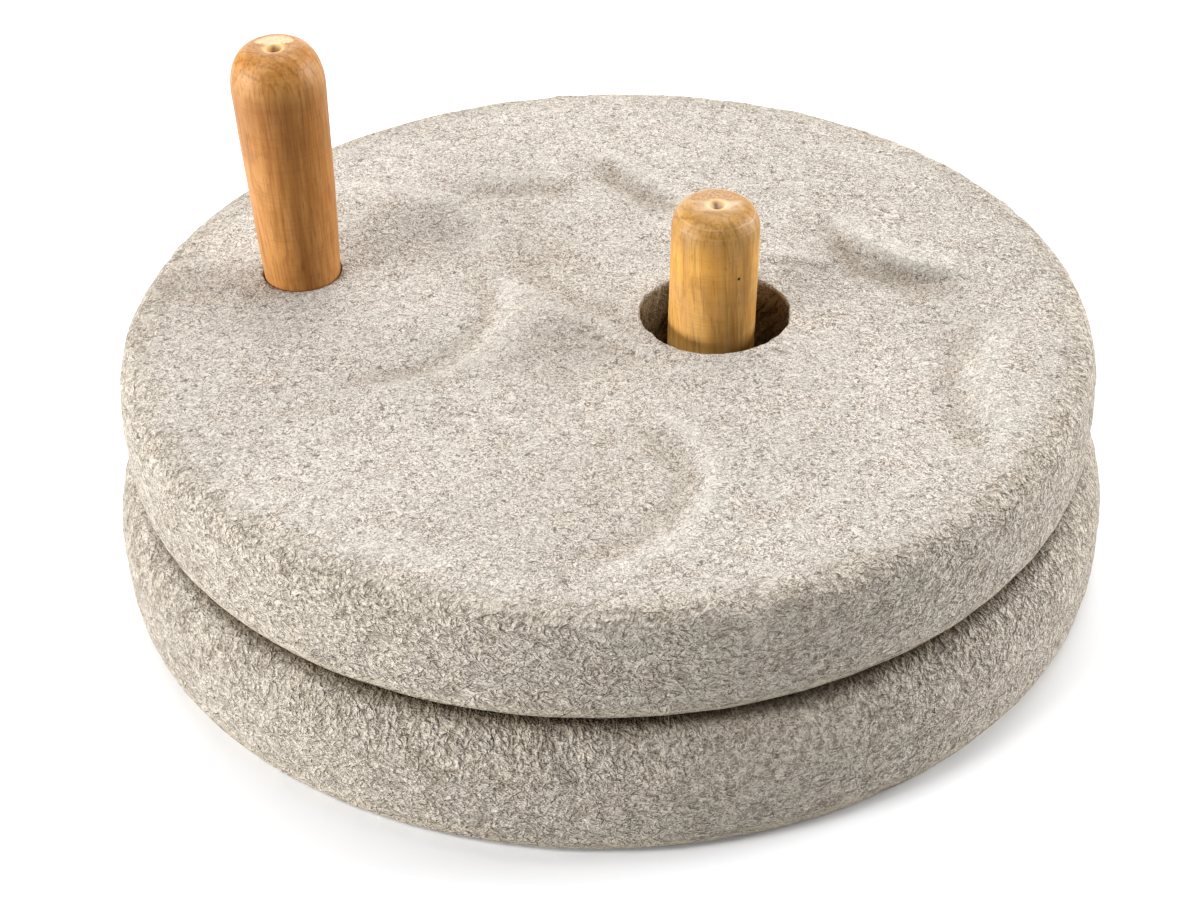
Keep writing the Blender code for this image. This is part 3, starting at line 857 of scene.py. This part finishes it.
# Painted shade in the pits between the rim's lumps.
RIM_PIT_SHADE = (0.205, 0.168, 0.125)
RIM_PEBBLE = (0.700, 0.640, 0.560)
COMBED_DARK = (0.220, 0.180, 0.135)
COMBED_PALE = (0.700, 0.640, 0.540)
LIP_PALE = (0.600, 0.530, 0.420)
LIP_DARK = (0.160, 0.125, 0.085)
EYE_DARK = (0.050, 0.033, 0.014)
EYE_PALE = (0.330, 0.265, 0.160)

# Factors on granite's colour, in order: warm and cool patches of its own; painted shade in
# the carving's creases; painted shadow of the handle and darker patches in the carving; the
# rim darker and warmer, partly its own colour and partly painted shade; painted shade in the
# gap between the stones; and the eye's wall darker and browner, partly a stain and partly
# painted shade.
WARM = (1.00, 0.94, 0.87)
COOL = (0.95, 0.97, 0.98)
CREASE_SHADE = (0.70, 0.64, 0.56)
SHADOW_AND_PATCH_DARKENING = (0.62, 0.57, 0.50)
# The rim darker and warmer: partly its own browner colour, partly painted shade on the sides.
RIM_TONE_AND_SHADE = (0.92, 0.90, 0.86)
JOINT_SHADE = (0.30, 0.25, 0.18)
# The eye's wall darker and browner: partly a stain, partly painted shade in the hole.
EYE_STAIN_AND_SHADE = (0.36, 0.255, 0.125)


def granite(name):
    """Pecked granite: a pale ground of curled crystals about a millimetre across, broken
    grey-brown strokes winding between them and dark specks of mica; painted shade in the
    carving's creases and painted highlight on its crests.  The rim is rougher, with strands
    combed down its shoulder, painted shade in the pits between pebbly lumps and a lip
    streaked along the side, and is darker and warmer, partly its own colour and partly
    painted shade.
    Painted shade lies in the gap between the stones, with painted shadow of the handle and
    darker patches in the carving, and the eye's wall is darker and browner, partly a stain
    and partly painted shade."""
    made, tree, shader = new_material(name, 0.92, 0.25)
    place = node(tree, "TexCoord").outputs["Object"]
    unrolled = node(tree, "Attribute", attribute_name="unrolled").outputs["Vector"]
    pressed = mapped(tree, place, Scale=(1.0, 1.0, 1.4))
    combing = mapped(tree, unrolled, Scale=(1.0, 1.0, 0.40))
    level = mapped(tree, unrolled, Scale=(0.25, 0.25, 2.2))
    crystals = noise(tree, pressed, 780.0, 1.5, 0.5, 1.3)
    winding = noise(tree, pressed, 450.0, 1.0, 0.5, 2.2)
    curled = noise(tree, pressed, 680.0, 1.0, 0.5, 2.4)
    mica = noise(tree, pressed, 600.0, 1.5, 0.6, 1.0)
    pebbles = noise(tree, pressed, 250.0, 2.0, 0.5, 2.0)
    combed = noise(tree, combing, 330.0, 2.0, 0.55, 1.6)
    streaks = noise(tree, level, 360.0, 2.0, 0.6, 0.4)
    patches = noise(tree, place, 110.0, 2.0, 0.6, 0.5)
    clouds = noise(tree, place, 22.0, 2.0, 0.5, 0.0)
    rim, lip, eye, bend, shadow_and_patches, shoulder, joint = (
        painted(tree, part)
        for part in ("rim", "lip", "eye", "bend", "shadow_and_patches", "shoulder", "joint"))

    def stroke(field, width):
        """Lines where a noise crosses its middle, one width to either side."""
        off = maths(tree, "ABSOLUTE", maths(tree, "SUBTRACT", field, 0.5))
        return fit(tree, off, width, 0.2 * width)

    def past(field, low, high, strength):
        """A share that grows to its strength as a field goes from low to high."""
        return fit(tree, field, low, high, 0.0, strength)

    def where(part, field, low, high, strength):
        """The same share, on one part of the stone only."""
        return product(tree, part, past(field, low, high, strength))

    shade = fit(tree, clouds, 0.3, 0.7, 0.96, 1.03)
    cloudy = node(tree, "CombineColor", {0: shade, 1: shade, 2: shade}).outputs[0]
    broken = fit(tree, patches, 0.36, 0.60, 0.66, 0.94)
    colour = layered(tree, ramp(tree, crystals, GROUND), (
        (product(tree, stroke(winding, 0.068), broken), BROAD_STROKE),
        (product(tree, stroke(curled, 0.045), 0.45), FINE_STROKE),
        (past(mica, 0.38, 0.31, 0.72), MICA),
        (past(patches, 0.52, 0.66, 0.35), WARM, "MULTIPLY"),
        (past(patches, 0.46, 0.32, 0.30), COOL, "MULTIPLY"),
        # Painted shade in the carving's creases.
        (past(bend, -0.10, -1.00, 0.30), CREASE_SHADE, "MULTIPLY"),
        # Painted shadow of the handle and darker patches in the carving.
        (shadow_and_patches, SHADOW_AND_PATCH_DARKENING, "MULTIPLY"),
        # Painted highlight on the carving's crests.
        (past(bend, 0.15, 0.90, 0.19), CREST_HIGHLIGHT),
        # Painted shade in the pits between the rim's lumps.
        (where(rim, pebbles, 0.47, 0.33, 0.52), RIM_PIT_SHADE),
        (where(rim, pebbles, 0.50, 0.64, 0.35), RIM_PEBBLE),
        (where(shoulder, combed, 0.48, 0.34, 0.5), COMBED_DARK),
        (where(shoulder, combed, 0.54, 0.68, 0.4), COMBED_PALE),
        (where(lip, streaks, 0.35, 0.65, 0.7), LIP_PALE),
        (where(lip, streaks, 0.42, 0.30, 0.6), LIP_DARK),
        # The rim darker and warmer: partly its own browner colour, partly painted shade on
        # the sides.
        (rim, RIM_TONE_AND_SHADE, "MULTIPLY"),
        # Painted shade in the gap where the two stones meet.
        (joint, JOINT_SHADE, "MULTIPLY"),
        # The eye's wall darker and browner: partly a stain, partly painted shade in the hole.
        (product(tree, eye, 0.9), EYE_STAIN_AND_SHADE, "MULTIPLY"),
        (where(eye, combed, 0.47, 0.36, 0.75), EYE_DARK),
        (where(eye, combed, 0.54, 0.66, 0.55), EYE_PALE),
        (1.0, cloudy, "MULTIPLY")))
    tree.links.new(colour, shader.inputs["Base Color"])

    lumps = maths(tree, "ADD", product(tree, rim, pebbles),
                  product(tree, product(tree, shoulder, 0.6), combed))
    broad = node(tree, "Bump", {"Height": lumps, "Distance": 0.0036, "Strength": 0.8})
    curls = product(tree, fit(tree, rim, 0.0, 1.0, 1.0, 0.45),
                    maths(tree, "ADD", product(tree, winding, 1.3), crystals))
    fine = maths(tree, "ADD", curls, product(tree, streaks, lip))
    bump = node(tree, "Bump", {"Height": fine, "Distance": 0.0007, "Strength": 0.9,
                               "Normal": broad.outputs[0]})
    tree.links.new(bump.outputs[0], shader.inputs["Normal"])
    return made


# How a peg's wood looks: the place of its pith, its lean and its rings' spacing; its colours;
# the heights and strengths of the pale lines left by the tool; the worm hole's place; where
# its domed end begins; and how its colour is scaled with its height, in tenths of a metre, on
# the dowel partly painted light that keeps its foot bright in the shade of the runner's eye.
Wood = namedtuple("Wood", "pith lean rings pale deep dark cut bare lines hole dome tones")
HANDLE_WOOD = Wood(
    pith=(-0.074, 0.058), lean=0.03, rings=0.0024,
    pale=(0.460, 0.208, 0.052), deep=(0.395, 0.160, 0.031), dark=(0.185, 0.066, 0.009),
    cut=(0.66, 0.50, 0.30), bare=(0.55, 0.32, 0.13),
    lines=((0.0930, 0.25),), hole=None, dome=0.086,
    tones=((0.30, (0.99, 0.97, 0.97)), (0.60, (0.97, 0.96, 0.91)), (0.84, (0.76, 0.71, 0.58)),
           (0.89, (0.90, 0.93, 0.86)), (0.96, (0.97, 1.00, 0.98))))
DOWEL_WOOD = Wood(
    pith=(0.060, 0.030), lean=0.05, rings=0.0034,
    pale=(0.870, 0.490, 0.135), deep=(0.750, 0.380, 0.082), dark=(0.340, 0.165, 0.040),
    cut=(0.30, 0.165, 0.085), bare=(0.60, 0.44, 0.31),
    lines=((0.0909, 0.28), (0.0883, 0.16)), hole=(0.0391, -0.0116, 0.0935), dome=0.084,
    # Painted light: the dowel stays brighter below the runner's face, down in the shade of
    # the eye.
    tones=((0.50, (1.00, 1.00, 1.00)), (0.56, (0.76, 0.74, 0.76)), (0.66, (0.72, 0.70, 0.67)),
           (0.78, (0.77, 0.72, 0.57)), (0.88, (0.53, 0.52, 0.50))))
RING_WOOD = (0.850, 0.620, 0.300)
PIT_WOOD = (0.100, 0.045, 0.012)
HOLE_WOOD = (0.010, 0.006, 0.003)


def turned_wood(name, wood):
    """Turned wood: growth rings about a pith outside the peg, each ending in a thin dark
    line, clearest on the domed end; fibres, streaks and short dark pores drawn out along the
    grain; faint level tool marks; and the marks painted on the end."""
    made, tree, shader = new_material(name, 0.48, 0.28)
    place = node(tree, "TexCoord").outputs["Object"]
    centred = mapped(tree, place, Location=(-wood.pith[0], -wood.pith[1], 0.0),
                     Rotation=(0.0, wood.lean, 0.0))

    def drawn_out(share):
        """Places pressed along the grain, which draws a pattern out along it."""
        return mapped(tree, centred, Scale=(1.0, 1.0, share))

    waver = noise(tree, drawn_out(0.30), 120.0, 3.0, 0.55, 0.5)
    fibres = noise(tree, drawn_out(0.030), 1250.0, 2.5, 0.6, 0.0)
    streaks = noise(tree, drawn_out(0.040), 340.0, 2.0, 0.6, 0.3)
    blotches = noise(tree, drawn_out(0.45), 170.0, 2.0, 0.5, 0.6)
    pores = noise(tree, drawn_out(0.15), 1500.0, 1.0, 0.5, 0.0)
    tooled = noise(tree, mapped(tree, place, Scale=(0.06, 0.06, 1.0)), 1500.0, 1.0, 0.5, 0.0)
    height = painted(tree, "height")

    split = node(tree, "SeparateXYZ", {"Vector": centred})
    across, deep = (maths(tree, "POWER", split.outputs[side], 2.0) for side in (0, 1))
    reach = maths(tree, "SQRT", maths(tree, "ADD", across, deep))
    growth = maths(tree, "FRACT", maths(tree, "ADD", maths(tree, "DIVIDE", reach, wood.rings),
                                        product(tree, waver, 2.2)))
    late = product(tree, fit(tree, growth, 0.66, 0.92), fit(tree, growth, 1.0, 0.95))
    ringed = fit(tree, height, wood.dome - 0.004, wood.dome + 0.003, 0.25, 0.40)
    # The dark streak, partly the wood's own and partly painted shade on the side the lights
    # reach least.
    heart = product(tree, painted(tree, "heart"), fit(tree, streaks, 0.38, 0.56, 0.5, 1.0))
    # Colour scaled with height; on the dowel partly painted light in the eye's shade.
    height_tone_and_light = ramp(tree, product(tree, height, 10.0), wood.tones)
    layers = [
        (fit(tree, blotches, 0.50, 0.68, 0.0, 0.20), wood.dark),
        (fit(tree, blotches, 0.48, 0.32, 0.0, 0.14), wood.bare),
        (product(tree, late, ringed), wood.dark),
        (fit(tree, fibres, 0.50, 0.68, 0.0, 0.50), wood.dark),
        (fit(tree, fibres, 0.46, 0.34, 0.0, 0.18), wood.bare),
        (fit(tree, pores, 0.64, 0.74, 0.0, 0.45), wood.dark),
        (fit(tree, tooled, 0.50, 0.66, 0.0, 0.14), wood.dark),
        (heart, wood.dark),
        (1.0, height_tone_and_light, "MULTIPLY")]

    broken = fit(tree, waver, 0.42, 0.54, 0.35, 1.0)
    wander = maths(tree, "ADD", height, fit(tree, blotches, 0.3, 0.7, -0.0002, 0.0002))
    for line, strength in wood.lines:
        off = maths(tree, "ABSOLUTE", maths(tree, "SUBTRACT", wander, line))
        mark = product(tree, fit(tree, off, 0.00030, 0.00005, 0.0, strength), broken)
        layers.append((mark, wood.bare))
    bare = product(tree, painted(tree, "bare"), fit(tree, waver, 0.38, 0.56, 0.10, 0.80))
    cut = tint(tree, fit(tree, fibres, 0.40, 0.60, 0.0, 0.35), wood.cut, wood.pale)
    layers += [(bare, wood.bare), (painted(tree, "cut"), cut),
               (product(tree, painted(tree, "ring"), 0.6), RING_WOOD),
               (product(tree, painted(tree, "pits"), 0.75), PIT_WOOD)]
    if wood.hole:
        away = node(tree, "VectorMath", {0: place, 1: wood.hole}, operation="DISTANCE")
        hole = fit(tree, away.outputs["Value"], 0.00075, 0.00055)
        layers.append((hole, HOLE_WOOD))
    ground = tint(tree, fit(tree, streaks, 0.36, 0.62), wood.pale, wood.deep)
    tree.links.new(layered(tree, ground, layers), shader.inputs["Base Color"])

    grain = maths(tree, "ADD", fibres, product(tree, tooled, 0.6))
    bump = node(tree, "Bump", {"Height": grain, "Distance": 0.00025, "Strength": 0.35})
    tree.links.new(bump.outputs[0], shader.inputs["Normal"])
    return made


# --------------------------------------------------
# The four pieces.

upper_stone = make_upper_stone()
cut_socket(upper_stone, HANDLE)
lower_stone = make_lower_stone()
axle_dowel = make_peg("axle_dowel", DOWEL)
turning_handle = make_peg("turning_handle", HANDLE)

paint_stone(upper_stone, RUNNER)
paint_stone(lower_stone, BED)
paint_peg(axle_dowel, DOWEL)
paint_peg(turning_handle, HANDLE)

pecked_granite = granite("pecked_granite")
upper_stone.data.materials.append(pecked_granite)
lower_stone.data.materials.append(pecked_granite)
turning_handle.data.materials.append(turned_wood("orange_turned_wood", HANDLE_WOOD))
axle_dowel.data.materials.append(turned_wood("yellow_turned_wood", DOWEL_WOOD))

for piece, body, node_name, slot in (
        (lower_stone, "bed", "bedstone", "granite"),
        (axle_dowel, "bed", "axle_peg", "pale_wood"),
        (upper_stone, "runner", "runner_stone", "granite"),
        (turning_handle, "runner", "handle", "warm_wood")):
    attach(piece, body)
    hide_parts(node_name)


# --------------------------------------------------
# Floor and light.

FLOOR_REACH = 6.0
FLOOR_COLOUR = (0.865, 0.870, 0.885, 1.0)
SOFT_GLOW = 0.05
WHITE = (1.0, 1.0, 1.0, 1.0)
LIT_HEIGHT = 0.04

# Light panels that face the middle of the quern: compass direction and height in degrees,
# distance, width and height in metres, power in watts, and colour.
Panel = namedtuple("Panel", "name azimuth elevation distance width height power colour",
                   defaults=(WHITE[:3],))
PANELS = (
    Panel("overhead", 76.0, 66.0, 1.6, 1.4, 1.4, 27.5),
    Panel("left_key", -147.0, 50.0, 1.5, 0.4, 0.4, 10.5),
    Panel("left_panel", -166.0, 9.0, 1.5, 1.2, 0.4, 30.0),
    Panel("back_panel", 100.0, 12.0, 1.6, 1.6, 0.5, 14.0),
    Panel("right_panel", 11.0, 17.0, 1.6, 0.9, 0.6, 30.5),
    Panel("front_fill", -75.0, 14.0, 1.6, 1.2, 0.5, 0.8, (1.0, 0.90, 0.80)),
)


def make_floor():
    """A wide plain pale floor."""
    corners = [(side * FLOOR_REACH, fore * FLOOR_REACH, 0.0)
               for side, fore in ((-1, -1), (1, -1), (1, 1), (-1, 1))]
    mesh = bpy.data.meshes.new("floor")
    mesh.from_pydata(corners, [], [(0, 1, 2, 3)])
    made, _, shader = new_material("plain_floor", 1.0, 0.0)
    shader.inputs["Base Color"].default_value = FLOOR_COLOUR
    shader.inputs["Emission Color"].default_value = WHITE
    shader.inputs["Emission Strength"].default_value = SOFT_GLOW
    mesh.materials.append(made)
    add_object("floor", mesh)


def hang_panel(panel):
    """A soft light panel in its place, turned to the quern."""
    turn, lift = math.radians(panel.azimuth), math.radians(panel.elevation)
    away = Vector((math.cos(turn) * math.cos(lift), math.sin(turn) * math.cos(lift),
                   math.sin(lift)))
    lamp = bpy.data.lights.new(panel.name, "AREA")
    lamp.shape = "RECTANGLE"
    lamp.size = panel.width
    lamp.size_y = panel.height
    lamp.energy = panel.power
    lamp.color = panel.colour
    light = add_object(panel.name, lamp)
    light.location = away * panel.distance + Vector((0.0, 0.0, LIT_HEIGHT))
    light.rotation_euler = away.to_track_quat("Z", "Y").to_euler()


make_floor()
for panel in PANELS:
    hang_panel(panel)

sky = bpy.data.worlds.new("studio")
sky.use_nodes = True
backdrop = sky.node_tree.nodes["Background"].inputs
backdrop["Color"].default_value = WHITE
backdrop["Strength"].default_value = SOFT_GLOW
bpy.context.scene.world = sky
bpy.context.scene.view_settings.view_transform = "Standard"
